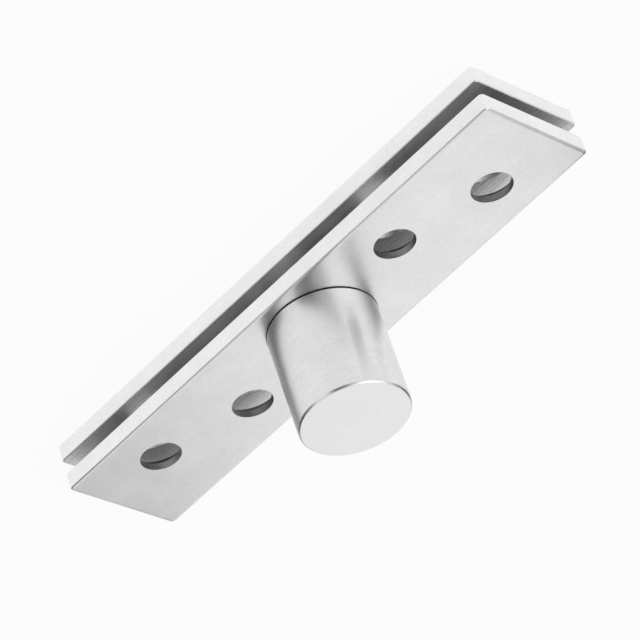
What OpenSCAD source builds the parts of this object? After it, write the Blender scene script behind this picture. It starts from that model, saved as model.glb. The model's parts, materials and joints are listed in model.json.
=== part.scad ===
// Pivot hinge for a heavy door, in stainless steel. Two equal leaves lie one
// above the other and turn on each other without a stop. The base leaf is
// screwed to the floor or the frame. The door leaf carries a closed barrel
// that is let into the door. A spindle riveted to the base leaf stands in the
// barrel, guided by two ball bearings, and a thrust bearing under the barrel's
// closed end takes the door's weight.
//
// Millimetres. Z is the pivot axis, the base leaf lies on z = 0, the barrel
// points up, and the leaves are as long as the part along X.

/* [Leaves] */
// Length of each leaf
leaf_l = 130; // [110:1:200]
// Width of each leaf
leaf_w = 30; // [28:1:60]
// Thickness of each leaf
leaf_t = 4; // [3.5:0.1:6]
// Open height between the two leaves
leaf_gap = 3.5; // [2.5:0.1:6]
// Radius of the leaf corners, seen from above
leaf_corner_r = 1; // [0.5:0.1:4]
// Width of the broken edges round both faces of a leaf
leaf_edge = 0.3; // [0.1:0.05:0.45]

/* [Screw holes] */
// Diameter of the screw holes
hole_d = 9; // [6:0.25:10]
// Depth of the countersinks, which are in the faces that look at each other
sink_depth = 2.4; // [1:0.05:3.2]
// Full angle of the countersinks
sink_angle = 90; // [80:1:100]
// From the end of a leaf to its outer screw hole
hole_end = 17; // [11:0.5:22]
// From an outer screw hole to the inner one, along the leaf
hole_pitch = 22; // [16:0.5:24]
// From the leaf's centre line to each screw hole, to one side and the other
hole_stagger = 3.5; // [0:0.25:5]

/* [Barrel] */
// Outside diameter of the barrel
barrel_d = 24; // [23:0.25:26]
// Height of the barrel above the door leaf
barrel_h = 25; // [23:0.5:50]
// Thickness of the barrel's closed end
barrel_end_t = 3.5; // [2:0.25:5]
// Width of the chamfer round the closed end
barrel_edge = 0.5; // [0.2:0.1:1.5]
// Radial width of the flange ring round the barrel's foot
flange_lip = 1.5; // [0.8:0.1:1.8]
// Thickness of the flange ring
flange_t = 1.2; // [0.8:0.1:1.8]
// Depth of the relief groove turned round the barrel's root
root_groove_depth = 0.5; // [0.1:0.05:0.8]
// How far the relief groove goes down into the door leaf
root_groove_below = 0.6; // [0.2:0.1:1]
// How far the relief groove rises above the door leaf
root_groove_above = 0.2; // [0.1:0.05:0.5]
// Plain length of the barrel's mouth below the snap ring's groove
mouth_l = 1.9; // [1.2:0.1:2.5]

/* [Spindle] */
// Diameter of the spindle's foot, which stands on the base leaf
foot_d = 16; // [14:0.25:16.5]
// Diameter of the neck that is riveted through the base leaf
neck_d = 10; // [8:0.25:12]
// Depth of the rivet's flare in the base leaf
rivet_depth = 1.2; // [0.6:0.1:2]
// Length of the land between the circlip's groove and the spindle's top shoulder
shoulder_l = 1.4; // [1:0.1:2.5]
// Air between the spindle's tip and the barrel's closed end
tip_air = 0.6; // [0.3:0.1:1.2]

/* [Ball bearings] */
// Bore of the two ball bearings, and so the spindle's journal
bearing_bore = 10; // [9.5:0.05:10.5]
// Outside diameter of the two ball bearings, and so the barrel's bore
bearing_od = 19; // [18.5:0.05:19.5]
// Width of each ball bearing
bearing_w = 5; // [4.6:0.1:6]
// Diameter of the bearing balls
ball_d = 2.381; // [2.2:0.01:2.6]
// Number of balls in each ball bearing
ball_count = 9; // [7:1:11]
// Radial thickness of the sleeves that keep the two ball bearings apart
spacer_wall = 1.2; // [0.8:0.1:1.4]
// Thickness of the shields
shield_t = 0.25; // [0.15:0.05:0.35]
// Radial thickness of the crown cages
cage_t = 0.9; // [0.6:0.05:1]

/* [Thrust bearing] */
// Bore of the thrust bearing, and so the spindle's tip
thrust_bore = 8; // [7:0.1:8.4]
// Outside diameter of the thrust bearing
thrust_od = 16; // [15.2:0.1:16.8]
// Height of the thrust bearing, from seat to seat
thrust_h = 5; // [4.5:0.1:6]
// Diameter of the thrust bearing's balls
thrust_ball_d = 2.5; // [2.1:0.05:2.8]
// Number of balls in the thrust bearing
thrust_ball_count = 9; // [6:1:10]
// Thickness of the thrust bearing's cage
thrust_cage_t = 1.2; // [0.8:0.1:1.4]

/* [Retaining rings] */
// Thickness of the circlip and of the snap ring
ring_t = 1; // [0.8:0.05:1.2]
// Depth of the circlip's groove in the spindle
circlip_groove = 0.2; // [0.1:0.05:0.4]
// Radial width of the circlip at its back
circlip_w = 1.8; // [1.4:0.05:2]
// Radial reach of the circlip's lugs from the bottom of its groove
circlip_lug = 3.25; // [2.8:0.05:3.4]
// Depth of the snap ring's groove in the barrel
snap_groove = 0.5; // [0.3:0.05:0.7]
// Radial width of the snap ring
snap_w = 1.5; // [1:0.05:1.6]
// Open width between the snap ring's ends
snap_gap = 4; // [2:0.5:8]

/* [Fits] */
// Radial clearance between the balls and their races
ball_clear = 0.015; // [0.01:0.005:0.05]
// Radial clearance of rings and sleeves on their seats
seat_clear = 0.01; // [0.01:0.005:0.03]
// Clearance of the retaining rings in their grooves
groove_clear = 0.05; // [0.02:0.01:0.08]
// Clearance between pieces that pass each other as the hinge turns
turn_clear = 0.15; // [0.1:0.01:0.2]
// Play of the balls in their cages
pocket_clear = 0.08; // [0.05:0.01:0.12]

/* [Hidden] */
$fn = 96;

// How far a cutter runs past the face that it opens into
past = 1;
// Small chamfer on turned parts and bearing rings
turned_edge = 0.3;
// Share of a ball's diameter that its race's radius takes
race_share = 0.52;
// Share of a ball's diameter that the lands rise above the race's bottom
land_share = 0.19;

// Heights of the stack, from the floor up
door_bottom = leaf_t + leaf_gap;
door_top = door_bottom + leaf_t;
barrel_top = door_top + barrel_h;
ceiling = barrel_top - barrel_end_t;
thrust_bottom = ceiling - thrust_h;
groove_l = ring_t + 2 * groove_clear;
upper_top = thrust_bottom - shoulder_l - groove_l;
upper_mid = upper_top - bearing_w / 2;
lower_bottom = door_bottom + mouth_l + groove_l;
lower_mid = lower_bottom + bearing_w / 2;
spacer_bottom = lower_bottom + bearing_w;
spacer_l = upper_top - bearing_w - spacer_bottom;
tip_top = ceiling - tip_air;
foot_top = lower_bottom - groove_l - groove_clear;

// Radii of the ball bearings
journal_r = bearing_bore / 2;
cavity_r = bearing_od / 2;
pitch_r = (journal_r + cavity_r) / 2;
race_r = race_share * ball_d;
inner_race_r = pitch_r - ball_d / 2 - ball_clear;
outer_race_r = pitch_r + ball_d / 2 + ball_clear;
inner_land_r = inner_race_r + land_share * ball_d;
outer_land_r = outer_race_r - land_share * ball_d;
abutment_r = inner_land_r - turned_edge;
shield_seat = 0.6;
shield_outer_r = outer_land_r + shield_seat;
shield_inner_r = inner_land_r + turn_clear;
shield_inset = 0.15;

// Crown cage: its web behind the balls, and how far its prongs reach past them
cage_web = 0.43;
cage_back = ball_d / 2 + pocket_clear + cage_web;
cage_front = 0.3 * ball_d;
cage_relief_d = 1.6;

// Thrust bearing
thrust_pitch_r = (thrust_bore + thrust_od) / 4;
thrust_mid = thrust_bottom + thrust_h / 2;
thrust_groove = 0.14 * thrust_ball_d;
thrust_race_z = thrust_ball_d / 2 + ball_clear;
thrust_washer_t = thrust_h / 2 - thrust_race_z + thrust_groove;
thrust_cage_rim = 0.4;

// Radii inside the barrel
thrust_seat_r = thrust_od / 2 + groove_clear;
circlip_bed_r = journal_r - circlip_groove;
circlip_room_r = circlip_bed_r + circlip_lug + 4 * turn_clear;
snap_bed_r = cavity_r + snap_groove;

// ---- Shared shapes ---------------------------------------------------------

// Rectangle with round corners, centred
module rounded_rectangle(l, w, r) {
    square([l - 2 * r, w], center = true);
    square([l, w - 2 * r], center = true);
    for (x = [-1, 1], y = [-1, 1])
        translate([x * (l / 2 - r), y * (w / 2 - r)]) circle(r);
}

// Rectangle with its corners cut off, centred
module chamfered_rectangle(l, w, c) {
    polygon([
        [c - l / 2, -w / 2], [l / 2 - c, -w / 2], [l / 2, c - w / 2], [l / 2, w / 2 - c],
        [l / 2 - c, w / 2], [c - l / 2, w / 2], [-l / 2, w / 2 - c], [-l / 2, c - w / 2],
    ]);
}

// Turned ring from radius r1 to r2 and from z1 up to z2, with broken edges
module turned_ring(r1, r2, z1, z2, c) {
    rotate_extrude()
        translate([(r1 + r2) / 2, (z1 + z2) / 2])
            chamfered_rectangle(r2 - r1, z2 - z1, c);
}

// Balls of diameter d, spread evenly at radius r
module ball_set(count, r, d) {
    for (i = [0 : count - 1])
        rotate(i * 360 / count) translate([r, 0, 0]) sphere(d = d);
}

// ---- Leaves ----------------------------------------------------------------

// Plain bar of one leaf, from z = 0 up, with all its outer edges broken
module leaf_blank() {
    translate([0, 0, leaf_t / 2])
        intersection() {
            linear_extrude(leaf_t + past, center = true)
                rounded_rectangle(leaf_l, leaf_w, leaf_corner_r);
            rotate([90, 0, 0])
                linear_extrude(leaf_w + past, center = true)
                    chamfered_rectangle(leaf_l, leaf_t, leaf_edge);
            rotate([90, 0, 90])
                linear_extrude(leaf_l + past, center = true)
                    chamfered_rectangle(leaf_w, leaf_t, leaf_edge);
        }
}

// One screw hole through a leaf, with its countersink in the upper face
module screw_hole() {
    spread = tan(sink_angle / 2);
    translate([0, 0, -past]) cylinder(d = hole_d, h = leaf_t + 2 * past);
    translate([0, 0, leaf_t - sink_depth])
        cylinder(d1 = hole_d, d2 = hole_d + 2 * (sink_depth + past) * spread,
                 h = sink_depth + past);
}

// The four screw holes of a leaf, staggered about its centre line
module screw_holes() {
    for (end = [-1, 1], row = [0, 1])
        translate([
            end * (leaf_l / 2 - hole_end - row * hole_pitch),
            end * (2 * row - 1) * hole_stagger,
            0,
        ])
            screw_hole();
}

// Lower leaf, countersunk from above, with the seat of the spindle's rivet
module base_leaf() {
    color("lightgray")
        difference() {
            leaf_blank();
            screw_holes();
            translate([0, 0, -past]) cylinder(d = neck_d, h = leaf_t + 2 * past);
            translate([0, 0, -past])
                cylinder(d1 = neck_d + 2 * (rivet_depth + past), d2 = neck_d,
                         h = rivet_depth + past);
        }
}

// Upper leaf, countersunk from below, bored for the barrel and its flange ring
module door_leaf() {
    color("gainsboro")
        translate([0, 0, door_bottom])
            difference() {
                leaf_blank();
                translate([0, 0, leaf_t]) mirror([0, 0, 1]) screw_holes();
                translate([0, 0, -past]) cylinder(d = barrel_d, h = leaf_t + 2 * past);
                translate([0, 0, -past])
                    cylinder(d = barrel_d + 2 * (flange_lip + seat_clear),
                             h = flange_t + past);
            }
}

// ---- Turned parts ----------------------------------------------------------

// Spindle: riveted neck, foot, journal for the bearings, and the thrust tip
module spindle() {
    neck_r = neck_d / 2;
    foot_r = foot_d / 2;
    tip_r = thrust_bore / 2;
    color("silver")
        rotate_extrude()
            polygon([
                [0, 0], [neck_r + rivet_depth, 0], [neck_r, rivet_depth], [neck_r, leaf_t],
                [foot_r - turned_edge, leaf_t], [foot_r, leaf_t + turned_edge],
                [foot_r, foot_top - turned_edge], [foot_r - turned_edge, foot_top],
                [abutment_r, foot_top], [abutment_r, lower_bottom],
                [journal_r, lower_bottom], [journal_r, upper_top],
                [circlip_bed_r, upper_top], [circlip_bed_r, upper_top + groove_l],
                [journal_r, upper_top + groove_l], [journal_r, thrust_bottom],
                [tip_r, thrust_bottom], [tip_r, tip_top - turned_edge],
                [tip_r - turned_edge, tip_top], [0, tip_top],
            ]);
}

// Barrel: a cup turned from bar, closed on top, pressed through the door leaf
module barrel() {
    r = barrel_d / 2;
    root_r = r - root_groove_depth;
    root_low = door_top - root_groove_below;
    root_high = door_top + root_groove_above;
    color("gainsboro")
        rotate_extrude()
            polygon([
                [cavity_r + turned_edge, door_bottom], [r, door_bottom], [r, root_low], [root_r, root_low], [root_r, root_high], [r, root_high],
                [r, barrel_top - barrel_edge], [r - barrel_edge, barrel_top],
                [0, barrel_top], [0, ceiling],
                [thrust_seat_r, ceiling], [thrust_seat_r, thrust_bottom],
                [circlip_room_r, thrust_bottom], [circlip_room_r, upper_top],
                [cavity_r, upper_top], [cavity_r, lower_bottom],
                [snap_bed_r, lower_bottom], [snap_bed_r, lower_bottom - groove_l],
                [cavity_r, lower_bottom - groove_l],
                [cavity_r, door_bottom + turned_edge],
            ]);
}

// Flange ring: shrunk onto the barrel's foot and let into the door leaf from
// below, so that the leaf rests on it
module barrel_flange() {
    color("gainsboro")
        turned_ring(barrel_d / 2, barrel_d / 2 + flange_lip,
                    door_bottom, door_bottom + flange_t, turned_edge / 2);
}

// Sleeve that keeps the inner rings apart
module inner_spacer() {
    color("silver")
        turned_ring(journal_r + seat_clear, journal_r + spacer_wall,
                    spacer_bottom, spacer_bottom + spacer_l, turned_edge / 2);
}

// Sleeve that keeps the outer rings apart
module outer_spacer() {
    color("silver")
        turned_ring(cavity_r - spacer_wall, cavity_r - seat_clear,
                    spacer_bottom, spacer_bottom + spacer_l, turned_edge / 2);
}

// ---- Ball bearings, each drawn about its own middle plane ------------------

// Inner ring, with the race for the balls round its outside
module bearing_inner_ring() {
    inside = journal_r + seat_clear;
    color("lightsteelblue")
        rotate_extrude()
            difference() {
                translate([(inside + inner_land_r) / 2, 0])
                    chamfered_rectangle(inner_land_r - inside, bearing_w, turned_edge / 2);
                translate([inner_race_r + race_r, 0]) circle(race_r);
            }
}

// Outer ring, with the race round its inside and a seat for each shield
module bearing_outer_ring() {
    outside = cavity_r - seat_clear;
    shield_depth = shield_inset + shield_t;
    color("lightsteelblue")
        rotate_extrude()
            difference() {
                translate([(outer_land_r + outside) / 2, 0])
                    chamfered_rectangle(outside - outer_land_r, bearing_w, turned_edge / 2);
                translate([outer_race_r - race_r, 0]) circle(race_r);
                for (side = [-1, 1])
                    translate([0, side * (bearing_w / 2 - shield_depth / 2 + past / 2)])
                        square([2 * shield_outer_r, shield_depth + past], center = true);
            }
}

// Crown cage: a ring with a round pocket for each ball, open on one side,
// and a relief between the pockets that leaves two springy prongs at each
module bearing_cage() {
    color("ivory")
        difference() {
            rotate_extrude()
                translate([pitch_r - cage_t / 2, -cage_back])
                    square([cage_t, cage_back + cage_front]);
            ball_set(ball_count, pitch_r, ball_d + 2 * pocket_clear);
            for (i = [0 : ball_count - 1])
                rotate((i + 0.5) * 360 / ball_count)
                    translate([pitch_r, 0, cage_front])
                        rotate([0, 90, 0])
                            cylinder(d = cage_relief_d, h = 3 * cage_t, center = true);
        }
}

// Pressed shield: a flat washer with its rim turned inwards, outer face at z = 0
module bearing_shield() {
    color("gray")
        rotate_extrude() {
            translate([shield_inner_r, -shield_t])
                square([shield_outer_r - shield_inner_r, shield_t]);
            translate([shield_inner_r, -2 * shield_t]) square([shield_t, 2 * shield_t]);
        }
}

// Balls of one ball bearing
module bearing_balls() {
    color("aliceblue") ball_set(ball_count, pitch_r, ball_d);
}

// Places a shield in the bearing whose middle is at height mid, on one side
module seated_shield(mid, side) {
    translate([0, 0, mid + side * (bearing_w / 2 - shield_inset)])
        mirror([0, 0, side > 0 ? 0 : 1]) bearing_shield();
}

// ---- Thrust bearing --------------------------------------------------------

// One washer from radius r1 to r2, lying on z = 0, with its race on top
module thrust_washer(r1, r2) {
    color("lightsteelblue")
        rotate_extrude()
            difference() {
                translate([(r1 + r2) / 2, thrust_washer_t / 2])
                    chamfered_rectangle(r2 - r1, thrust_washer_t, turned_edge / 2);
                translate([thrust_pitch_r, thrust_h / 2 - thrust_race_z + race_share * thrust_ball_d])
                    circle(race_share * thrust_ball_d);
            }
}

// Lower washer: tight on the spindle's tip, free of the barrel
module thrust_lower_washer() {
    translate([0, 0, thrust_bottom])
        thrust_washer(thrust_bore / 2 + seat_clear, thrust_od / 2 - turn_clear);
}

// Upper washer: seated in the barrel, free of the spindle's tip
module thrust_upper_washer() {
    translate([0, 0, ceiling])
        mirror([0, 0, 1]) thrust_washer(thrust_bore / 2 + turn_clear, thrust_od / 2);
}

// Balls of the thrust bearing
module thrust_balls() {
    color("aliceblue")
        translate([0, 0, thrust_mid])
            ball_set(thrust_ball_count, thrust_pitch_r, thrust_ball_d);
}

// Flat cage with a round window for each ball
module thrust_cage() {
    half_w = thrust_ball_d / 2 + pocket_clear + thrust_cage_rim;
    color("goldenrod")
        translate([0, 0, thrust_mid])
            difference() {
                turned_ring(thrust_pitch_r - half_w, thrust_pitch_r + half_w,
                            -thrust_cage_t / 2, thrust_cage_t / 2, turned_edge / 3);
                for (i = [0 : thrust_ball_count - 1])
                    rotate(i * 360 / thrust_ball_count)
                        translate([thrust_pitch_r, 0, 0])
                            cylinder(d = thrust_ball_d + 2 * pocket_clear,
                                     h = thrust_cage_t + past, center = true);
            }
}

// ---- Retaining rings -------------------------------------------------------

// Circlip in the spindle's groove, over the upper inner ring. Its width tapers
// from the back to the two lugs, and each lug has a hole for the pliers.
module spindle_circlip() {
    inside = circlip_bed_r + groove_clear;
    front_w = 0.6 * circlip_w;
    lug_r = 1.2;
    lug_hole_d = 1.2;
    lug_angle = 23;
    lug_centre = circlip_bed_r + circlip_lug - lug_r;
    color("dimgray")
        translate([0, 0, upper_top])
            linear_extrude(ring_t)
                difference() {
                    union() {
                        translate([(front_w - circlip_w) / 2, 0])
                            circle(inside + (front_w + circlip_w) / 2);
                        for (side = [-1, 1])
                            rotate(side * lug_angle) {
                                translate([inside, -lug_r])
                                    square([lug_centre - inside, 2 * lug_r]);
                                translate([lug_centre, 0]) circle(lug_r);
                            }
                    }
                    circle(inside);
                    translate([0, -lug_r]) square([2 * lug_centre, 2 * lug_r]);
                    for (side = [-1, 1])
                        rotate(side * lug_angle)
                            translate([lug_centre, 0]) circle(d = lug_hole_d);
                }
}

// Flat snap ring in the barrel's mouth, under the lower outer ring
module barrel_snap_ring() {
    outside = snap_bed_r - groove_clear;
    color("dimgray")
        translate([0, 0, lower_bottom - ring_t])
            linear_extrude(ring_t)
                difference() {
                    circle(outside);
                    circle(outside - snap_w);
                    translate([0, -snap_gap / 2]) square([2 * outside, snap_gap]);
                }
}

// ---- The bearings in their places ------------------------------------------

module lower_bearing_inner_ring() { translate([0, 0, lower_mid]) bearing_inner_ring(); }
module lower_bearing_outer_ring() { translate([0, 0, lower_mid]) bearing_outer_ring(); }
module lower_bearing_balls() { translate([0, 0, lower_mid]) bearing_balls(); }
module lower_bearing_cage() { translate([0, 0, lower_mid]) bearing_cage(); }
module lower_bearing_bottom_shield() { seated_shield(lower_mid, -1); }
module lower_bearing_top_shield() { seated_shield(lower_mid, 1); }
module upper_bearing_inner_ring() { translate([0, 0, upper_mid]) bearing_inner_ring(); }
module upper_bearing_outer_ring() { translate([0, 0, upper_mid]) bearing_outer_ring(); }
module upper_bearing_balls() { translate([0, 0, upper_mid]) bearing_balls(); }
module upper_bearing_cage() { translate([0, 0, upper_mid]) bearing_cage(); }
module upper_bearing_bottom_shield() { seated_shield(upper_mid, -1); }
module upper_bearing_top_shield() { seated_shield(upper_mid, 1); }

base_leaf();
spindle();
door_leaf();
barrel();
barrel_flange();
lower_bearing_inner_ring();
lower_bearing_outer_ring();
lower_bearing_balls();
lower_bearing_cage();
lower_bearing_bottom_shield();
lower_bearing_top_shield();
upper_bearing_inner_ring();
upper_bearing_outer_ring();
upper_bearing_balls();
upper_bearing_cage();
upper_bearing_bottom_shield();
upper_bearing_top_shield();
inner_spacer();
outer_spacer();
thrust_lower_washer();
thrust_upper_washer();
thrust_balls();
thrust_cage();
spindle_circlip();
barrel_snap_ring();
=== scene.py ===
"""Dresses a stainless steel pivot hinge for a heavy door.

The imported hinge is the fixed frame. The two leaves and the barrel are modelled
again here with their ground edges and broken rims, and each stands for its CAD
node. Everything else keeps its CAD shape and gets its own finish. All lengths
are in metres, in the hinge's own frame: +Z is the pivot axis, the base leaf
lies on z = 0, and the leaves run along X.
"""

import json
import logging
import math
from collections.abc import Callable, Sequence
from dataclasses import dataclass
from enum import Enum, IntEnum

import bmesh
import bpy
from mathutils import Matrix, Vector


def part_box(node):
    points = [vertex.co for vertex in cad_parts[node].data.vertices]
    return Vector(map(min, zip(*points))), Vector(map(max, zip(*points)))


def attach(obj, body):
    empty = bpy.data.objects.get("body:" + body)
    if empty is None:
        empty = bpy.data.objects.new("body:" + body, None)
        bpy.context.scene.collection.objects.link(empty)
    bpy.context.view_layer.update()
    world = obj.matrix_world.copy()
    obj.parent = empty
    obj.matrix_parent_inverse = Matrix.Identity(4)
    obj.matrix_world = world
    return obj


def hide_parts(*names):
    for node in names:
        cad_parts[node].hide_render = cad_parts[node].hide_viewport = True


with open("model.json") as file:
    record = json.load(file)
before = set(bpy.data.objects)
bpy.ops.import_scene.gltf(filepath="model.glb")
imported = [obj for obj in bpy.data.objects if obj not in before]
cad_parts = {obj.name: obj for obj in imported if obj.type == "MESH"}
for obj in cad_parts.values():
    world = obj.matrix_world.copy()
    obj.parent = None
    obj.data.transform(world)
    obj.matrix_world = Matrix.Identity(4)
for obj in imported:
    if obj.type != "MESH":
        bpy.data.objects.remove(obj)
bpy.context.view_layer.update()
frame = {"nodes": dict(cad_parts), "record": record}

MM = 0.001
LOG = logging.getLogger("pivot_hinge")
# Two heights that differ by less than this are one height.
SAME_HEIGHT = 0.01 * MM
# Corners that are closer than this are merged.
SAME_CORNER = 0.0001 * MM
# The bevel profile that gives a round edge.
ROUND = 0.5
# Edges sharper than this many degrees are rounded on a turned piece.
ROUNDED_FROM = 25
# Edges up to this many degrees are shaded smooth.
SMOOTH_UP_TO = 35
# A face is level if the Z of its normal is over the first of these, upright if it
# is under the last, and too steep for a leaf's flat face if under the second.
LEVEL, STEEP, UPRIGHT = 0.9, 0.8, 0.3

Profile = Sequence[tuple[float, float]]


# ---- Colours and nodes ------------------------------------------------------


def linear(code: str) -> tuple[float, float, float, float]:
    """Turns an sRGB hex colour into the linear colour that a shader takes.

    Args:
        code: six hex digits, with or without a leading #.

    Returns:
        Red, green, blue and an alpha of 1.
    """
    digits = code.lstrip("#")
    parts = [int(digits[i : i + 2], 16) / 255 for i in (0, 2, 4)]
    flat = [c / 12.92 if c <= 0.04045 else ((c + 0.055) / 1.055) ** 2.4 for c in parts]
    return (flat[0], flat[1], flat[2], 1.0)


def add_node(
    tree: bpy.types.NodeTree, kind: str, inputs: dict | None = None, **settings: object
) -> bpy.types.Node:
    """Adds a node, sets it up and links it.

    Args:
        tree: the node tree that the node goes into.
        kind: the node's type, such as ShaderNodeBump.
        inputs: a value, or another node's output, for each input by name or number.
        settings: the node's own properties.

    Returns:
        The new node.
    """
    node = tree.nodes.new(kind)
    for name, value in settings.items():
        setattr(node, name, value)
    for key, value in (inputs or {}).items():
        if isinstance(value, bpy.types.NodeSocket):
            tree.links.new(value, node.inputs[key])
        else:
            node.inputs[key].default_value = value
    return node


def new_material(name: str) -> tuple[bpy.types.Material, bpy.types.NodeTree]:
    """Makes an empty node material.

    Args:
        name: the material's name.

    Returns:
        The material and its node tree, which has no nodes yet.
    """
    material = bpy.data.materials.new(name)
    material.use_nodes = True
    material.node_tree.nodes.clear()
    return material, material.node_tree


# ---- Finishes ---------------------------------------------------------------


class Lay(Enum):
    """The way that the marks of a tool run over a metal surface."""

    LENGTHWISE = "along X"
    ROUND_THE_AXIS = "round the Z axis"
    NONE = "in no direction"


# The parts of 0 to 1 that nearly all of the noise stays in: slow clouds spread
# further than fine patterns do.
CLOUD_SPAN = {"From Min": 0.25, "From Max": 0.75}
PATTERN_SPAN = {"From Min": 0.3, "From Max": 0.7}
# Radius of a middling turned piece, at which grooves have their stated length.
TURNED_RADIUS = 10 * MM
# The layers in the noise: the grooves have more of them, and sharper ones.
GROOVE_LAYERS = {"Scale": 1.0, "Detail": 3.0, "Roughness": 0.6}
CLOUD_LAYERS = {"Detail": 2.0}
# How far down the highlight's direction points. It is a little short of 1, so
# that on an edge at 45 degrees the direction never falls along the normal.
DOWNWARDS = -0.93
# A small turn off the axes, which keeps that direction from vanishing anywhere:
# in X and Y on a turned piece, and in X on a flat one.
OFF_TURNED = (0.02, 0.01)
OFF_FLAT = 0.05


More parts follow.
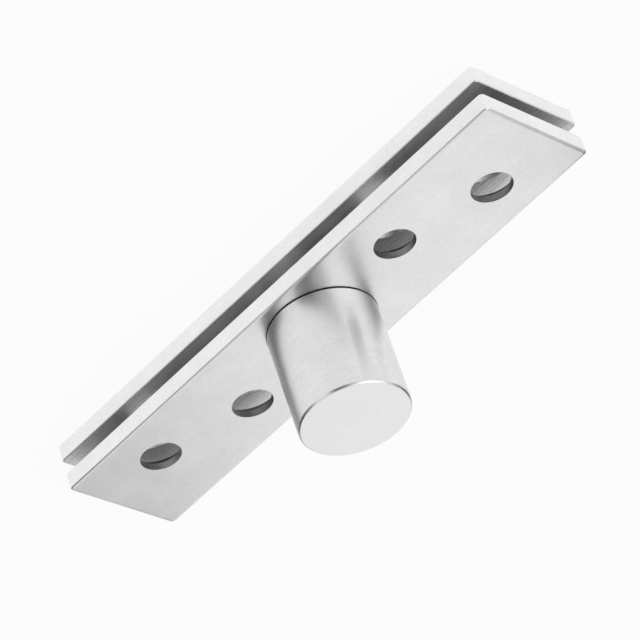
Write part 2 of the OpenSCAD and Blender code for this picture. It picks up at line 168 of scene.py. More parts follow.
@dataclass(frozen=True)
class MetalFinish:
    """A metal surface with the marks that its making left.

    The marks are fine grooves that run one way. They tilt the surface a little
    and spread a highlight across themselves, and slow clouds of slightly
    different roughness and tone lie over them.

    Attributes:
        name: the material's name.
        colour: the metal's own colour.
        roughness: mean roughness.
        lay: the way that the grooves run.
        groove_pitch: distance from groove to groove.
        groove_depth: depth of the grooves.
        groove_length: length over which a groove changes, where there is a lay.
        spread: how far a highlight is drawn out across the grooves, from 0 to 1.
        cloud_size: size of the clouds in roughness and tone.
        cloud_roughness: how far the clouds change the roughness each way.
        streak_tone: share by which the grooves lighten and darken the colour.
        cloud_tone: share by which the clouds do.
        speckle_size: size of the fine mottling that tumbling leaves.
        speckle_tone: share by which the mottling changes the colour.
    """

    name: str
    colour: str
    roughness: float
    lay: Lay
    groove_pitch: float
    groove_depth: float
    groove_length: float = 1 * MM
    spread: float = 0.0
    cloud_size: float = 14 * MM
    cloud_roughness: float = 0.02
    streak_tone: float = 0.02
    cloud_tone: float = 0.03
    speckle_size: float = 0.45 * MM
    speckle_tone: float = 0.03

    def groove_coordinates(
        self, tree: bpy.types.NodeTree, place: bpy.types.NodeSocket
    ) -> bpy.types.NodeSocket:
        """Stretches a place on the piece so that noise in it runs with the lay.

        Args:
            tree: the material's node tree.
            place: object coordinates, in metres.

        Returns:
            Coordinates in which a groove is one unit wide and one unit long.
        """
        across, along = 1 / self.groove_pitch, 1 / self.groove_length
        if self.lay is not Lay.ROUND_THE_AXIS:
            in_x = along if self.lay is Lay.LENGTHWISE else across
            return add_node(
                tree, "ShaderNodeVectorMath",
                {0: place, 1: (in_x, across, across)}, operation="MULTIPLY",
            ).outputs[0]
        arc = along * TURNED_RADIUS
        flat = add_node(
            tree, "ShaderNodeVectorMath", {0: place, 1: (1, 1, 0)}, operation="MULTIPLY"
        )
        radius = add_node(
            tree, "ShaderNodeVectorMath", {0: flat.outputs[0]}, operation="LENGTH"
        )
        compass = add_node(
            tree, "ShaderNodeVectorMath", {0: flat.outputs[0]}, operation="NORMALIZE"
        )
        height = add_node(tree, "ShaderNodeSeparateXYZ", {0: place})
        travel = add_node(
            tree, "ShaderNodeMath",
            {0: radius.outputs["Value"], 1: height.outputs["Z"]}, operation="ADD",
        )
        pitch = add_node(
            tree, "ShaderNodeMath", {0: travel.outputs[0], 1: across},
            operation="MULTIPLY",
        )
        round_it = add_node(
            tree, "ShaderNodeVectorMath", {0: compass.outputs[0], 1: (arc, arc, 0)},
            operation="MULTIPLY",
        )
        lift = add_node(tree, "ShaderNodeCombineXYZ", {"Z": pitch.outputs[0]})
        both = add_node(
            tree, "ShaderNodeVectorMath",
            {0: round_it.outputs[0], 1: lift.outputs[0]}, operation="ADD",
        )
        return both.outputs[0]

    def across_the_grooves(
        self, tree: bpy.types.NodeTree, place: bpy.types.NodeSocket
    ) -> bpy.types.NodeSocket:
        """Gives the direction that a highlight is drawn out in.

        The shader takes away whatever part of it lies along the normal, so one
        sum serves the faces, the walls and the edges between.

        Args:
            tree: the material's node tree.
            place: object coordinates, in metres.

        Returns:
            A direction in world space.
        """
        if self.lay is Lay.ROUND_THE_AXIS:
            flat = add_node(
                tree, "ShaderNodeVectorMath", {0: place, 1: (1, 1, 0)},
                operation="MULTIPLY",
            )
            outward = add_node(
                tree, "ShaderNodeVectorMath", {0: flat.outputs[0]},
                operation="NORMALIZE",
            )
            sloped = add_node(
                tree, "ShaderNodeVectorMath",
                {0: outward.outputs[0], 1: (*OFF_TURNED, DOWNWARDS)}, operation="ADD",
            )
        else:
            sloped = add_node(
                tree, "ShaderNodeCombineXYZ", {"X": OFF_FLAT, "Y": 1.0, "Z": DOWNWARDS}
            )
        turned = add_node(
            tree, "ShaderNodeVectorTransform", {0: sloped.outputs[0]},
            vector_type="VECTOR", convert_from="OBJECT", convert_to="WORLD",
        )
        return turned.outputs[0]

    def make(self) -> bpy.types.Material:
        """Builds the material.

        Returns:
            The finished material.
        """
        material, tree = new_material(self.name)
        place = add_node(tree, "ShaderNodeTexCoord").outputs["Object"]
        grooves = add_node(
            tree, "ShaderNodeTexNoise",
            {"Vector": self.groove_coordinates(tree, place), **GROOVE_LAYERS},
        ).outputs[0]
        clouds = add_node(
            tree, "ShaderNodeTexNoise",
            {"Vector": place, "Scale": 1 / self.cloud_size, **CLOUD_LAYERS},
        ).outputs[0]
        roughness = add_node(
            tree, "ShaderNodeMapRange",
            {
                "Value": clouds, **CLOUD_SPAN,
                "To Min": self.roughness - self.cloud_roughness,
                "To Max": self.roughness + self.cloud_roughness,
            },
        ).outputs[0]
        speckle = add_node(
            tree, "ShaderNodeTexNoise",
            {"Vector": place, "Scale": 1 / self.speckle_size, **CLOUD_LAYERS},
        ).outputs[0]
        shades = [
            add_node(
                tree, "ShaderNodeMapRange",
                {
                    "Value": pattern, **PATTERN_SPAN,
                    "To Min": 1 - share, "To Max": 1 + share,
                },
            ).outputs[0]
            for pattern, share in (
                (grooves, self.streak_tone),
                (clouds, self.cloud_tone),
                (speckle, self.speckle_tone),
            )
        ]
        shade = add_node(
            tree, "ShaderNodeMath", {0: shades[0], 1: shades[1]}, operation="MULTIPLY"
        ).outputs[0]
        shade = add_node(
            tree, "ShaderNodeMath", {0: shade, 1: shades[2]}, operation="MULTIPLY"
        ).outputs[0]
        tone = add_node(
            tree, "ShaderNodeVectorMath",
            {0: linear(self.colour)[:3], 1: shade}, operation="MULTIPLY",
        ).outputs[0]
        relief = add_node(
            tree, "ShaderNodeBump",
            {"Height": grooves, "Strength": 1.0, "Distance": self.groove_depth},
        ).outputs[0]
        inputs = {
            "Base Color": tone, "Metallic": 1.0, "Roughness": roughness,
            "Normal": relief,
        }
        if self.spread:
            inputs["Anisotropic"] = self.spread
            inputs["Tangent"] = self.across_the_grooves(tree, place)
        shader = add_node(tree, "ShaderNodeBsdfPrincipled", inputs)
        add_node(tree, "ShaderNodeOutputMaterial", {"Surface": shader.outputs[0]})
        return material


@dataclass(frozen=True)
class MouldedPolyamide:
    """Natural glass-filled polyamide as a mould leaves it: cream, a little
    see-through in thin places, with a faint grain.

    Attributes:
        name: the material's name.
        colour: the plastic's colour.
        roughness: mean roughness.
        grain: size of the grain that the mould's surface leaves.
        grain_depth: depth of that grain.
        grain_tone: how dark and how light the grain makes the colour.
        ior: index of refraction.
        see_through: share of the light that passes through the skin.
        light_colour: colour that it comes back in, as red, green and blue.
        light_depth: how far it travels inside.
    """

    name: str = "natural_polyamide_moulded"
    colour: str = "EAE3CC"
    roughness: float = 0.45
    grain: float = 0.12 * MM
    grain_depth: float = 0.002 * MM
    grain_tone: tuple[float, float] = (0.94, 1.03)
    ior: float = 1.53
    see_through: float = 0.1
    light_colour: tuple[float, float, float] = (1, 0.9, 0.7)
    light_depth: float = 0.5 * MM

    def make(self) -> bpy.types.Material:
        """Builds the material.

        Returns:
            The finished material.
        """
        material, tree = new_material(self.name)
        place = add_node(tree, "ShaderNodeTexCoord").outputs["Object"]
        grain = add_node(
            tree, "ShaderNodeTexNoise",
            {"Vector": place, "Scale": 1 / self.grain, "Detail": 1.0},
        ).outputs[0]
        tone = add_node(
            tree, "ShaderNodeMapRange",
            {
                "Value": grain,
                "To Min": self.grain_tone[0], "To Max": self.grain_tone[1],
            },
        ).outputs[0]
        colour = add_node(
            tree, "ShaderNodeVectorMath",
            {0: linear(self.colour)[:3], 1: tone}, operation="MULTIPLY",
        ).outputs[0]
        relief = add_node(
            tree, "ShaderNodeBump",
            {"Height": grain, "Strength": 1.0, "Distance": self.grain_depth},
        ).outputs[0]
        shader = add_node(
            tree, "ShaderNodeBsdfPrincipled",
            {
                "Base Color": colour, "Roughness": self.roughness, "IOR": self.ior,
                "Subsurface Weight": self.see_through,
                "Subsurface Radius": self.light_colour,
                "Subsurface Scale": self.light_depth, "Normal": relief,
            },
        )
        add_node(tree, "ShaderNodeOutputMaterial", {"Surface": shader.outputs[0]})
        return material


# Tool marks finer than about 0.15 mm don't show. Where a comment gives no other
# size, they are 0.02 to 0.1 mm apart and are drawn at the pitch that is given.

# 304 stainless bar, belt-ground along its length and then tumbled: pale, satin,
# finely mottled, with hardly any grain left. A belt's grooves are about 0.05 mm
# apart; they are drawn at 0.5 mm so that they show.
LEAF_OUTSIDE = MetalFinish(
    "stainless_304_satin_ground", "F2F2F2", 0.31, Lay.LENGTHWISE,
    groove_pitch=0.5 * MM, groove_length=12 * MM, groove_depth=0.006 * MM,
    spread=0.3, cloud_size=8 * MM, cloud_tone=0.035, speckle_tone=0.04,
)
# The same bar where tumbling didn't reach, on the base leaf's face at the gap:
# bright, with grooves that read as fine dark and light streaks. They are about
# 0.1 mm apart and are drawn at 0.4 mm.
LEAF_INSIDE = MetalFinish(
    "stainless_304_belt_ground", "FAFAFA", 0.36, Lay.LENGTHWISE,
    groove_pitch=0.4 * MM, groove_length=30 * MM, groove_depth=0.1 * MM,
    spread=0.92, cloud_size=8 * MM, streak_tone=0.26, cloud_tone=0.1,
    speckle_tone=0.12,
)
# The door leaf's face at the gap, left as the bar was rolled: dull, and painted a
# darker grey as shade between the leaves, with faint lines that are drawn at 0.4 mm.
LEAF_INSIDE_PAINTED_SHADE = MetalFinish(
    "stainless_304_rolled_painted_shade", "BEBEBE", 0.5, Lay.LENGTHWISE,
    groove_pitch=0.4 * MM, groove_length=8 * MM, groove_depth=0.01 * MM,
    spread=0.3, cloud_size=6 * MM, streak_tone=0.08, cloud_tone=0.1,
    speckle_tone=0.08,
)
# The same steel as a drill leaves it: dull, and painted grey as shade inside the screw
# holes.
DRILLED_PAINTED_SHADE = MetalFinish(
    "stainless_304_drilled_painted_shade", "B4B4B4", 0.42, Lay.NONE,
    groove_pitch=0.4 * MM, groove_depth=0.012 * MM,
    cloud_size=3 * MM, streak_tone=0.12, cloud_tone=0.1, speckle_tone=0.06,
)
# The cone of a countersink, cut last, with one slow pass: cleaner and brighter
# than the drilled wall.
COUNTERSUNK = MetalFinish(
    "stainless_304_countersunk", "DADADA", 0.34, Lay.NONE,
    groove_pitch=0.3 * MM, groove_depth=0.006 * MM,
    cloud_size=3 * MM, streak_tone=0.06, cloud_tone=0.06, speckle_tone=0.04,
)
# The same cone on the door leaf's underside, where the other leaf shuts it in: painted
# dark grey as shade in the gap between the leaves.
COUNTERSUNK_PAINTED_SHADE = MetalFinish(
    "stainless_304_countersunk_painted_shade", "6C6C6C", 0.5, Lay.NONE,
    groove_pitch=0.3 * MM, groove_depth=0.006 * MM,
    cloud_size=2 * MM, streak_tone=0.06, cloud_tone=0.12, speckle_tone=0.04,
)
# 304 stainless turned from bar with a fine feed, then tumbled with the leaves.
# The feed marks are 0.1 mm apart and are drawn at 0.3 mm.
TURNED = MetalFinish(
    "stainless_304_fine_turned", "EAEAEA", 0.325, Lay.ROUND_THE_AXIS,
    groove_pitch=0.3 * MM, groove_length=4 * MM, groove_depth=0.004 * MM,
    spread=0.78, cloud_size=5 * MM, streak_tone=0.03, cloud_tone=0.04,
    speckle_tone=0.05,
)
# The barrel's closed end, faced across in the lathe: the tool's rings are so
# shallow that only a few wide ones can be told apart.
FACED = MetalFinish(
    "stainless_304_faced", "F6F6F6", 0.31, Lay.ROUND_THE_AXIS,
    groove_pitch=2.2 * MM, groove_length=60 * MM, groove_depth=0.004 * MM,
    spread=0.1, cloud_size=6 * MM, streak_tone=0.016, cloud_tone=0.015,
    speckle_tone=0.02,
)
# The bottom of the relief groove at the barrel's root, painted near black as shade in
# the recess.
GROOVE_PAINTED_SHADE = MetalFinish(
    "stainless_304_groove_painted_shade", "444444", 0.6, Lay.NONE,
    groove_pitch=0.2 * MM, groove_depth=0.004 * MM,
    cloud_size=2 * MM, cloud_tone=0.1,
)
# Hardened bearing steel, ground and lapped: nearly a mirror, a trace of blue.
BEARING = MetalFinish(
    "bearing_steel_lapped", "D9DBDE", 0.12, Lay.ROUND_THE_AXIS,
    groove_pitch=0.15 * MM, groove_length=6 * MM, groove_depth=0.0005 * MM,
    spread=0.3, cloud_size=4 * MM,
)
# Cold-rolled sheet, pressed: greyer than the ground parts, with a dull skin.
PRESSED = MetalFinish(
    "steel_sheet_pressed", "B9BABC", 0.34, Lay.ROUND_THE_AXIS,
    groove_pitch=0.4 * MM, groove_length=5 * MM, groove_depth=0.002 * MM,
    spread=0.2, cloud_size=5 * MM, cloud_tone=0.06,
)
# Phosphated spring steel under a film of oil: near black, with a soft gloss.
SPRING = MetalFinish(
    "spring_steel_phosphated", "5A5A5C", 0.36, Lay.NONE,
    groove_pitch=0.25 * MM, groove_depth=0.003 * MM,
    cloud_size=3 * MM, cloud_tone=0.12,
)
# Brass, turned and drilled, unlacquered: warm yellow with fine turning lines.
CAGE_BRASS = MetalFinish(
    "brass_cz121_turned", "D8B36A", 0.3, Lay.ROUND_THE_AXIS,
    groove_pitch=0.2 * MM, groove_length=4 * MM, groove_depth=0.001 * MM,
    spread=0.3, cloud_size=4 * MM, cloud_tone=0.06,
)
FINISH_OF_SLOT = {
    "leaf_steel": LEAF_OUTSIDE,
    "turned_steel": TURNED,
    "bearing_steel": BEARING,
    "pressed_steel": PRESSED,
    "spring_steel": SPRING,
    "cage_brass": CAGE_BRASS,
    "cage_polyamide": MouldedPolyamide(),
}


class Paint:
    """Keeps each finish's material, so that each is built once."""

    def __init__(self) -> None:
        """Starts with no materials."""
        self.made: dict[str, bpy.types.Material] = {}

    def material(self, finish: MetalFinish | MouldedPolyamide) -> bpy.types.Material:
        """Gives a finish's material, and builds it at its first use.

        Args:
            finish: the finish that is wanted.

        Returns:
            Its material.
        """
        if finish.name not in self.made:
            self.made[finish.name] = finish.make()
        return self.made[finish.name]


# ---- Bench work -------------------------------------------------------------


def pick(piece: bpy.types.Object) -> None:
    """Makes a piece the only one selected and the active one.

    Args:
        piece: the piece.
    """
    bpy.ops.object.select_all(action="DESELECT")
    piece.select_set(True)
    bpy.context.view_layer.objects.active = piece


def select_edges(
    piece: bpy.types.Object, wanted: Callable[[Vector, Vector], bool]
) -> int:
    """Selects edges of the piece that is in edit mode by where their ends are.

    Args:
        piece: the piece in edit mode.
        wanted: says of an edge's two ends whether it is to be selected.

    Returns:
        How many edges are selected.
    """
    bpy.ops.mesh.select_mode(type="EDGE")
    bpy.ops.mesh.select_all(action="DESELECT")
    mesh = bmesh.from_edit_mesh(piece.data)
    chosen = [e for e in mesh.edges if wanted(e.verts[0].co, e.verts[1].co)]
    for edge in chosen:
        edge.select_set(True)
    mesh.select_flush_mode()
    bmesh.update_edit_mesh(piece.data)
    return len(chosen)


def turn(
    name: str, profile: Profile, segments: int, centre: tuple[float, float] = (0, 0)
) -> bpy.types.Object:
    """Turns a closed piece: a disc is drawn out and resized from step to step.

    Args:
        name: the new object's name.
        profile: radius and height of each step, from one end cap to the other.
        segments: faces round the piece.
        centre: where its axis is in X and Y.

    Returns:
        The turned piece, with its faces pointing outwards.
    """
    bpy.ops.object.select_all(action="DESELECT")
    radius, height = profile[0]
    bpy.ops.mesh.primitive_circle_add(
        vertices=segments, radius=radius, fill_type="NGON",
        location=(centre[0], centre[1], height),
    )
    piece = bpy.context.active_object
    piece.name = name
    bpy.ops.object.transform_apply(location=True, rotation=True, scale=True)
    bpy.ops.object.mode_set(mode="EDIT")
    bpy.ops.mesh.select_all(action="SELECT")
    for next_radius, next_height in profile[1:]:
        bpy.ops.mesh.extrude_region_move(
            TRANSFORM_OT_translate={"value": (0, 0, next_height - height)}
        )
        ratio = next_radius / radius
        bpy.ops.transform.resize(
            value=(ratio, ratio, 1), center_override=(*centre, next_height)
        )
        radius, height = next_radius, next_height
    bpy.ops.mesh.select_all(action="SELECT")
    bpy.ops.mesh.remove_doubles(threshold=SAME_CORNER)
    bpy.ops.mesh.normals_make_consistent(inside=False)
    bpy.ops.object.mode_set(mode="OBJECT")
    return piece


def cut(piece: bpy.types.Object, cutter: bpy.types.Object) -> None:
    """Cuts one solid out of another and removes the cutter.

    Args:
        piece: the solid that is cut.
        cutter: the solid that is taken away.
    """
    pick(piece)
    modifier = piece.modifiers.new("cut", "BOOLEAN")
    modifier.operation = "DIFFERENCE"
    modifier.solver = "EXACT"
    modifier.object = cutter
    bpy.ops.object.modifier_apply(modifier=modifier.name)
    bpy.data.objects.remove(cutter)


def round_edges(piece: bpy.types.Object, width: float, segments: int) -> None:
    """Rounds every sharp edge.

    Args:
        piece: the piece, in object mode.
        width: how far the rounding reaches from the edge.
        segments: faces across the rounding.
    """
    pick(piece)
    modifier = piece.modifiers.new("rounding", "BEVEL")
    modifier.limit_method = "ANGLE"
    modifier.angle_limit = math.radians(ROUNDED_FROM)
    modifier.width = width
    modifier.segments = segments
    modifier.use_clamp_overlap = True
    bpy.ops.object.modifier_apply(modifier=modifier.name)


def smooth(piece: bpy.types.Object) -> None:
    """Shades a piece smooth, with its flat faces kept flat.

    Args:
        piece: the piece, in object mode.
    """
    pick(piece)
    bpy.ops.object.shade_smooth_by_angle(angle=math.radians(SMOOTH_UP_TO))
    modifier = piece.modifiers.new("flat_faces", "WEIGHTED_NORMAL")
    modifier.keep_sharp = True
    bpy.ops.object.modifier_apply(modifier=modifier.name)


# ---- The leaves -------------------------------------------------------------


# The rivet's seat in the base leaf, as radius and height of each step: a cone
# from the underside up to the hole for the spindle's neck. Both seats run 1 mm
# past the leaf's faces.
RIVET_SEAT = ((7.2 * MM, -1 * MM), (5 * MM, 1.2 * MM), (5 * MM, 5 * MM))
# The barrel's seat in the door leaf: a step for the flange ring, then the bore.
BARREL_SEAT = (
    (13.51 * MM, -1 * MM), (13.51 * MM, 1.2 * MM),
    (12 * MM, 1.2 * MM), (12 * MM, 5 * MM),
)


class Sink(Enum):
    """The side of a leaf that its screws are sunk into."""

    ABOVE = 1
    BELOW = -1


class LeafFace(IntEnum):
    """The faces of a leaf that have a finish of their own, in slot order."""

    OUTSIDE = 0
    INSIDE = 1
    HOLE = 2
    SINK = 3


@dataclass
class Leaf:
    """One flat leaf: a ground bar with four staggered, countersunk screw holes
    and a seat in its middle for the turned part that it carries.

    Attributes:
        node: the CAD node that the leaf stands for, and the piece's name.
        body: the body that it rides on.
        sink: the side of the countersinks, which faces the other leaf.
        seat: radius and height above the leaf's underside of each step of the
            hole in its middle.
        corner_radius: radius of the four corners.
        edge_width: how far the worn edge of the outer face reaches in.
        edge_height: how far that edge reaches down.
        inner_width: how far the edge of the face that looks at the other leaf is
            rounded inwards.
        inner_height: how far it is rounded down the side.
        inner_finish: finish of that face.
        hole_radius: radius of the screw holes.
        hole_places: centres of the screw holes.
        sink_depth: depth of the countersinks.
        sink_finish: finish of the countersinks.
        rim_radius: rounding of the holes' rims.
        past: how far a cutter runs past a face.
        segments: faces round a screw hole. The seat has twice as many.
        corner_segments: faces across a rounded corner.
        edge_segments: faces across the rounding of a face's edge.
        rim_segments: faces across the rounding of a rim.
        rim_match: how closely an edge has to lie on a rim to belong to it.
    """

    node: str
    body: str
    sink: Sink
    seat: Profile
    corner_radius: float = 1.0 * MM
    edge_width: float = 0.9 * MM
    edge_height: float = 0.3 * MM
    inner_width: float = 0.15 * MM
    inner_height: float = 0.15 * MM
    inner_finish: MetalFinish = LEAF_INSIDE
    hole_radius: float = 4.5 * MM
    hole_places: Sequence[tuple[float, float]] = (
        (48 * MM, -3.5 * MM), (26 * MM, 3.5 * MM),
        (-26 * MM, -3.5 * MM), (-48 * MM, 3.5 * MM),
    )
    sink_depth: float = 2.4 * MM
    sink_finish: MetalFinish = COUNTERSUNK
    rim_radius: float = 0.1 * MM
    past: float = 1 * MM
    segments: int = 72
    corner_segments: int = 8
    edge_segments: int = 6
    rim_segments: int = 2
    rim_match: float = 0.03 * MM

    def blank(self) -> bpy.types.Object:
        """Makes the bar with its rounded corners and edges.

        Returns:
            The bar, with no holes yet.
        """
        low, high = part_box(self.node)
        size = high - low
        bpy.ops.object.select_all(action="DESELECT")
        bpy.ops.mesh.primitive_cube_add(size=1, location=(low + high) / 2, scale=size)
        piece = bpy.context.active_object
        piece.name = self.node + "_ground"
        bpy.ops.object.transform_apply(location=True, rotation=True, scale=True)
        bpy.ops.object.mode_set(mode="EDIT")
        select_edges(piece, lambda a, b: abs(a.z - b.z) > size.z / 2)
        bpy.ops.mesh.bevel(
            offset=self.corner_radius, segments=self.corner_segments,
            affect="EDGES", profile=ROUND,
        )
        inner, outer = (high.z, low.z) if self.sink is Sink.ABOVE else (low.z, high.z)
        self.round_rim(piece, inner, self.inner_width, self.inner_height)
        self.round_rim(piece, outer, self.edge_width, self.edge_height)
        bpy.ops.object.mode_set(mode="OBJECT")
        return piece

    def round_rim(
        self, piece: bpy.types.Object, level: float, width: float, height: float
    ) -> None:
        """Rounds the edge round one face, wider than it is high.

        The piece is drawn out in height for it, from the floor up, and then set
        back.

        Args:
            piece: the bar, in edit mode.
            level: height of the face.
            width: how far the rounding reaches in.
            height: how far it reaches down the side.
        """
        stretch = width / height
        self.resize_height(stretch)
        level *= stretch
        select_edges(
            piece, lambda a, b: max(abs(a.z - level), abs(b.z - level)) < SAME_HEIGHT
        )
        bpy.ops.mesh.bevel(
            offset=width, segments=self.edge_segments, affect="EDGES", profile=ROUND
        )
        self.resize_height(1 / stretch)

    def resize_height(self, ratio: float) -> None:
        """Resizes the piece in edit mode in height, from the floor up."""
        bpy.ops.mesh.select_all(action="SELECT")
        bpy.ops.transform.resize(value=(1, 1, ratio), center_override=(0, 0, 0))

    def hole_profile(self, bottom: float, top: float) -> Profile:
        """Gives the steps of a screw hole's cutter, from below to above.

        Args:
            bottom: height of the leaf's underside.
            top: height of the leaf's upper face.

        Returns:
            Radius and height of each step.
        """
        wide = self.hole_radius + self.sink_depth + self.past
        if self.sink is Sink.ABOVE:
            return [
                (self.hole_radius, bottom - self.past),
                (self.hole_radius, top - self.sink_depth),
                (wide, top + self.past),
            ]
        return [
            (wide, bottom - self.past),
            (self.hole_radius, bottom + self.sink_depth),
            (self.hole_radius, top + self.past),
        ]

    def break_rims(self, piece: bpy.types.Object, bottom: float, top: float) -> None:
        """Rounds the rims where the screw holes and the seat meet the faces.

        Args:
            piece: the leaf with its holes.
            bottom: height of the leaf's underside.
            top: height of the leaf's upper face.
        """
        rims = [
            (x, y, r)
            for x, y in self.hole_places
            for r in (self.hole_radius, self.hole_radius + self.sink_depth)
        ] + [(0.0, 0.0, self.seat[0][0]), (0.0, 0.0, self.seat[-1][0])]

        def on_rim(a: Vector, b: Vector) -> bool:
            """Says whether an edge is part of a rim on either face.

            Args:
                a: one end of the edge.
                b: its other end.

            Returns:
                True for an edge of a rim.
            """
            if min(abs(a.z - bottom), abs(a.z - top)) > SAME_HEIGHT:
                return False
            if abs(a.z - b.z) > SAME_HEIGHT:
                return False
            return any(
                all(
                    abs(math.hypot(end.x - x, end.y - y) - r) < self.rim_match
                    for end in (a, b)
                )
                for x, y, r in rims
            )

        pick(piece)
        bpy.ops.object.mode_set(mode="EDIT")
        found = select_edges(piece, on_rim)
        LOG.info("%s: %d rim edges rounded", piece.name, found)
        bpy.ops.mesh.bevel(
            offset=self.rim_radius, segments=self.rim_segments,
            affect="EDGES", profile=ROUND,
        )
        bpy.ops.object.mode_set(mode="OBJECT")

    def in_a_hole(self, place: Vector) -> bool:
        """Says whether a place on the leaf is in a screw hole or its countersink."""
        reach = self.hole_radius + self.sink_depth
        return any(
            math.hypot(place.x - x, place.y - y) < reach for x, y in self.hole_places
        )

    def build(self, paint: Paint) -> bpy.types.Object:
        """Makes and dresses the leaf.

        Args:
            paint: the materials.

        Returns:
            The finished leaf.
        """
        low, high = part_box(self.node)
        piece = self.blank()
        for centre in self.hole_places:
            profile = self.hole_profile(low.z, high.z)
            cut(piece, turn("cutter", profile, self.segments, centre))
        steps = [(radius, low.z + height) for radius, height in self.seat]
        cut(piece, turn("cutter", steps, 2 * self.segments))
        self.break_rims(piece, low.z, high.z)
        smooth(piece)
        # The hole walls' finish is painted darker as shade, and on the door leaf so are
        # its face and countersinks at the gap.
        for finish in (LEAF_OUTSIDE, self.inner_finish, DRILLED_PAINTED_SHADE, self.sink_finish):
            piece.data.materials.append(paint.material(finish))
        for face in piece.data.polygons:
            slope = abs(face.normal.z)
            if face.normal.z * self.sink.value > LEVEL:
                face.material_index = LeafFace.INSIDE
            elif slope < STEEP and self.in_a_hole(face.center):
                on_wall = slope < UPRIGHT
                face.material_index = LeafFace.HOLE if on_wall else LeafFace.SINK
        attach(piece, self.body)
        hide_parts(self.node)
        return piece


# ---- The barrel -------------------------------------------------------------


class BarrelFace(IntEnum):
    """The faces of the barrel that have a finish of their own, in slot order."""

    WALL = 0
    END = 1
    GROOVE = 2


@dataclass
class Barrel:
    """The closed barrel, turned from bar: its plain wall, the relief groove at
    its root, the broken edge of its closed end and the stepped bore inside.

    Attributes:
        node: the CAD node that the barrel stands for.
        body: the body that it rides on.
        radius: radius of the wall.
        groove_radius: radius at the bottom of the relief groove.
        groove_low: foot of the groove, above the barrel's mouth.
        groove_high: top of the groove, above the barrel's mouth.
        end_chamfer: width of the chamfer round the closed end.
        bore: radius and height above the mouth of each step of the bore, from
            the mouth to the closed end.
        edge_radius: rounding of every turned edge.
        edge_segments: faces across that rounding.
        painted_shade_past: how far the groove's painted shade reaches under its bottom.
        painted_shade_short: how far short of the wall it ends.
        segments: faces round the wall.
    """

    node: str = "barrel"
    body: str = "door"
    radius: float = 12 * MM
    groove_radius: float = 11.5 * MM
    groove_low: float = 3.4 * MM
    groove_high: float = 4.25 * MM
    end_chamfer: float = 0.38 * MM
    bore: Profile = (
        (9.8 * MM, 0.0), (9.5 * MM, 0.3 * MM), (9.5 * MM, 1.9 * MM),
        (10.0 * MM, 1.9 * MM), (10.0 * MM, 3.0 * MM), (9.5 * MM, 3.0 * MM),
        (9.5 * MM, 18.0 * MM), (8.65 * MM, 18.0 * MM), (8.65 * MM, 20.5 * MM),
        (8.05 * MM, 20.5 * MM), (8.05 * MM, 25.5 * MM),
    )
    edge_radius: float = 0.07 * MM
    edge_segments: int = 2
    painted_shade_past: float = 0.1 * MM
    painted_shade_short: float = 0.15 * MM
    segments: int = 192

    def build(self, paint: Paint) -> bpy.types.Object:
        """Makes and dresses the barrel.

        Args:
            paint: the materials.

        Returns:
            The finished barrel.
        """
        low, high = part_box(self.node)
        outside = [
            (self.radius - self.end_chamfer, high.z),
            (self.radius, high.z - self.end_chamfer),
            (self.radius, low.z + self.groove_high),
            (self.groove_radius, low.z + self.groove_high),
            (self.groove_radius, low.z + self.groove_low),
            (self.radius, low.z + self.groove_low),
            (self.radius, low.z),
        ]
        inside = [(radius, low.z + height) for radius, height in self.bore]
        piece = turn(self.node + "_turned", outside + inside, self.segments)
        round_edges(piece, self.edge_radius, self.edge_segments)
        smooth(piece)
        for finish in (TURNED, FACED, GROOVE_PAINTED_SHADE):
            piece.data.materials.append(paint.material(finish))
        # The faces in the relief groove get the near-black painted shade.
        painted_shade_from = self.groove_radius - self.painted_shade_past
        painted_shade_to = self.radius - self.painted_shade_short
        for face in piece.data.polygons:
            out = math.hypot(face.center.x, face.center.y)
            up = face.center.z - low.z
            if face.normal.z > LEVEL and up > self.groove_high:
                face.material_index = BarrelFace.END
            elif (
                painted_shade_from < out < painted_shade_to
                and self.groove_low - SAME_HEIGHT < up < self.groove_high + SAME_HEIGHT
            ):
                face.material_index = BarrelFace.GROOVE
        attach(piece, self.body)
        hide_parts(self.node)
        return piece


# ---- The parts that keep their CAD shape --------------------------------------


class Inside:
    """The spindle, the flange ring, the bearings and the retaining rings."""

    def dress(self, paint: Paint, done: set[str]) -> None:
        """Gives each CAD node its finish.

        Args:
            paint: the materials.
            done: nodes that a piece of this scene stands for.
        """
        slots = {s["node"]: s["material_slot"] for s in frame["record"]["subparts"]}
        for name, node in sorted(frame["nodes"].items()):
            if name in done:
                continue
            material = paint.material(FINISH_OF_SLOT[slots[name]])
            if not node.material_slots:
                node.data.materials.append(material)
            for place in node.material_slots:
                place.material = material
            LOG.info("%s: dressed in %s", name, material.name)


# ---- The studio -------------------------------------------------------------


@dataclass(frozen=True)
class SoftBox:
    """A square lamp behind a diffuser, which looks at the hinge.

    Attributes:
        name: the lamp's name.
        azimuth: its bearing from the hinge, in degrees from +X towards +Y.
        elevation: its height above the floor, in degrees.
        distance: how far off it is.
        side: width and height of the diffuser.
        power: in watts.
    """

    name: str
    azimuth: float
    elevation: float
    distance: float
    side: float
    power: float

    def place(self) -> Vector:
        """Gives the lamp's place."""
        a, e = math.radians(self.azimuth), math.radians(self.elevation)
        return self.distance * Vector(
            (math.cos(a) * math.cos(e), math.sin(a) * math.cos(e), math.sin(e))
        )

    def set_up(self) -> None:
        """Adds the lamp to the scene."""
        data = bpy.data.lights.new(self.name, "AREA")
        data.shape = "SQUARE"
        data.size = self.side
        data.energy = self.power
        lamp = bpy.data.objects.new(self.name, data)
        bpy.context.scene.collection.objects.link(lamp)
        lamp.location = self.place()
        lamp.rotation_euler = (-self.place()).to_track_quat("-Z", "Y").to_euler()


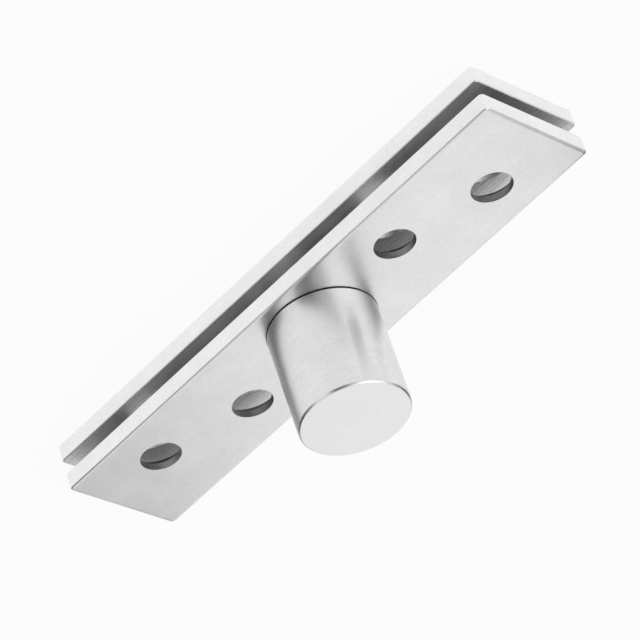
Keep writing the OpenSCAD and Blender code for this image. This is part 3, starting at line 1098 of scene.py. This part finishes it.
@dataclass(frozen=True)
class Card:
    """A grey card, which the steel mirrors and nothing else sees.

    It is a strip of a cone round the pivot axis, between two bearings. With one
    radius and two heights it stands, and with two radii and one height it lies.

    Attributes:
        name: the card's name.
        bearings: from where to where it reaches, in degrees from +X towards +Y.
        radii: how far its lower and its upper edge are from the pivot axis.
        heights: how high its lower and its upper edge are above the base leaf's
            underside.
        colour: its colour.
        roughness: mean roughness of its matt paper.
    """

    name: str
    bearings: tuple[float, float]
    radii: tuple[float, float]
    heights: tuple[float, float]
    colour: str
    roughness: float = 0.9

    def corner(self, edge: int, side: int) -> Vector:
        """Gives one corner: the lower or upper edge's first or last end."""
        bearing = math.radians(self.bearings[side])
        return Vector((
            self.radii[edge] * math.cos(bearing),
            self.radii[edge] * math.sin(bearing),
            self.heights[edge],
        ))

    def set_up(self) -> None:
        """Puts the card in its place."""
        bpy.ops.object.select_all(action="DESELECT")
        bpy.ops.mesh.primitive_plane_add(size=1, location=(0, 0, 0))
        card = bpy.context.active_object
        card.name = self.name
        for vertex in card.data.vertices:
            edge, side = int(vertex.co.y > 0), int(vertex.co.x > 0)
            vertex.co = self.corner(edge, side)
        card.visible_camera = False
        card.visible_diffuse = False
        card.visible_shadow = False
        material, tree = new_material(self.name)
        shader = add_node(
            tree, "ShaderNodeBsdfPrincipled",
            {"Base Color": linear(self.colour), "Roughness": self.roughness},
        )
        add_node(tree, "ShaderNodeOutputMaterial", {"Surface": shader.outputs[0]})
        card.data.materials.append(material)


@dataclass
class Studio:
    """A white floor in a white room, with soft boxes, cards and the camera.

    Attributes:
        camera_place: where the camera stands.
        camera_looks: the direction that it looks in.
        camera_up: the direction that is up in its picture.
        lens_mm: its focal length.
        sensor_mm: width of its sensor.
        clip: the nearest and the farthest distance that it sees.
        floor_side: width and depth of the floor.
        floor_drop: how far the floor is under the base leaf.
        floor_colour: the floor's own colour.
        floor_glow: share of plain white in the floor that eyes and mirrors see.
        room: strength of the light that comes from all round.
        boxes: the soft boxes.
        cards: the grey cards.
    """

    camera_place: tuple[float, float, float] = (0.394745, 0.556217, 0.512550)
    camera_looks: tuple[float, float, float] = (-0.466103, -0.656433, -0.593170)
    camera_up: tuple[float, float, float] = (0.594250, 0.264420, -0.759570)
    lens_mm: float = 232.08
    sensor_mm: float = 36
    clip: tuple[float, float] = (0.01, 20)
    floor_side: float = 12.0
    floor_drop: float = 0.02 * MM
    floor_colour: str = "F4F4F4"
    floor_glow: float = 0.92
    room: float = 0.35
    boxes: Sequence[SoftBox] = (
        SoftBox(
            "box_left", azimuth=100, elevation=38, distance=0.9, side=0.65, power=1.1
        ),
        SoftBox(
            "box_right", azimuth=-18, elevation=38, distance=0.9, side=0.85, power=1.25
        ),
        SoftBox(
            "box_back", azimuth=238, elevation=38, distance=0.9, side=1.0, power=1.66
        ),
        SoftBox(
            "box_high", azimuth=-10, elevation=62, distance=1.0, side=0.72, power=1.9
        ),
    )
    cards: Sequence[Card] = (
        Card(
            "card_behind", bearings=(203, 226), radii=(0.28, 0.28),
            heights=(0.0, 0.24), colour="E4E4E4",
        ),
        Card(
            "card_before", bearings=(47, 83), radii=(0.10, 0.10),
            heights=(0.035, 0.16), colour="060606",
        ),
        Card(
            "card_beside", bearings=(136, 186), radii=(0.18, 0.18),
            heights=(0.03, 0.17), colour="2C2C2C",
        ),
        Card(
            "card_right", bearings=(-83, -61), radii=(0.12, 0.12),
            heights=(0.03, 0.13), colour="585858",
        ),
    )

    def set_camera(self) -> None:
        """Puts up the camera."""
        look = Vector(self.camera_looks).normalized()
        right = look.cross(Vector(self.camera_up)).normalized()
        up = right.cross(look)
        turn_to = Matrix((right, up, -look)).transposed().to_4x4()
        data = bpy.data.cameras.new("camera")
        data.sensor_width = self.sensor_mm
        data.lens = self.lens_mm
        data.clip_start, data.clip_end = self.clip
        camera = bpy.data.objects.new("camera", data)
        bpy.context.scene.collection.objects.link(camera)
        camera.matrix_world = Matrix.Translation(self.camera_place) @ turn_to
        bpy.context.scene.camera = camera

    def lay_floor(self) -> None:
        """Lays the floor under the base leaf."""
        low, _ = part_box("base_leaf")
        bpy.ops.object.select_all(action="DESELECT")
        bpy.ops.mesh.primitive_plane_add(
            size=self.floor_side, location=(0, 0, low.z - self.floor_drop)
        )
        floor = bpy.context.active_object
        floor.name = "floor"
        bpy.ops.object.transform_apply(location=True, rotation=True, scale=True)
        material, tree = new_material("white_paper")
        paper = add_node(
            tree, "ShaderNodeBsdfDiffuse", {"Color": linear(self.floor_colour)}
        )
        white = add_node(
            tree, "ShaderNodeEmission", {"Color": (1, 1, 1, 1), "Strength": 1.0}
        )
        path = add_node(tree, "ShaderNodeLightPath")
        seen = add_node(
            tree, "ShaderNodeMath",
            {0: path.outputs["Is Camera Ray"], 1: path.outputs["Is Glossy Ray"]},
            operation="MAXIMUM",
        )
        seen = add_node(
            tree, "ShaderNodeMath",
            {0: seen.outputs[0], 1: path.outputs["Is Transmission Ray"]},
            operation="MAXIMUM",
        )
        share = add_node(
            tree, "ShaderNodeMath", {0: seen.outputs[0], 1: self.floor_glow},
            operation="MULTIPLY",
        )
        both = add_node(
            tree, "ShaderNodeMixShader",
            {0: share.outputs[0], 1: paper.outputs[0], 2: white.outputs[0]},
        )
        add_node(tree, "ShaderNodeOutputMaterial", {"Surface": both.outputs[0]})
        floor.data.materials.append(material)

    def light(self) -> None:
        """Lights the room from all round and sets up the soft boxes."""
        scene = bpy.context.scene
        scene.view_settings.view_transform = "Standard"
        world = bpy.data.worlds.new("room")
        scene.world = world
        world.use_nodes = True
        tree = world.node_tree
        tree.nodes.clear()
        shader = add_node(
            tree, "ShaderNodeBackground",
            {"Color": (1, 1, 1, 1), "Strength": self.room},
        )
        add_node(tree, "ShaderNodeOutputWorld", {"Surface": shader.outputs[0]})
        for box in self.boxes:
            box.set_up()
        for card in self.cards:
            card.set_up()

    def set_up(self) -> None:
        """Sets up the camera, the floor and the light."""
        self.set_camera()
        self.lay_floor()
        self.light()


# ---- The whole --------------------------------------------------------------


def main() -> None:
    """Builds the studio and the hinge."""
    logging.basicConfig(level=logging.INFO, format="%(name)s: %(message)s")
    Studio().set_up()
    paint = Paint()
    base_leaf = Leaf(
        "base_leaf", "base", Sink.ABOVE,
        seat=RIVET_SEAT, inner_width=0.3 * MM, inner_height=0.3 * MM,
    )
    door_leaf = Leaf(
        "door_leaf", "door", Sink.BELOW,
        # The door leaf's face at the gap and its countersinks are painted darker as
        # shade.
        seat=BARREL_SEAT, inner_finish=LEAF_INSIDE_PAINTED_SHADE,
        sink_finish=COUNTERSUNK_PAINTED_SHADE,
    )
    barrel = Barrel()
    for part in (base_leaf, door_leaf, barrel):
        piece = part.build(paint)
        LOG.info("%s: %d faces", piece.name, len(piece.data.polygons))
    Inside().dress(paint, {base_leaf.node, door_leaf.node, barrel.node})


if __name__ == "__main__":
    main()
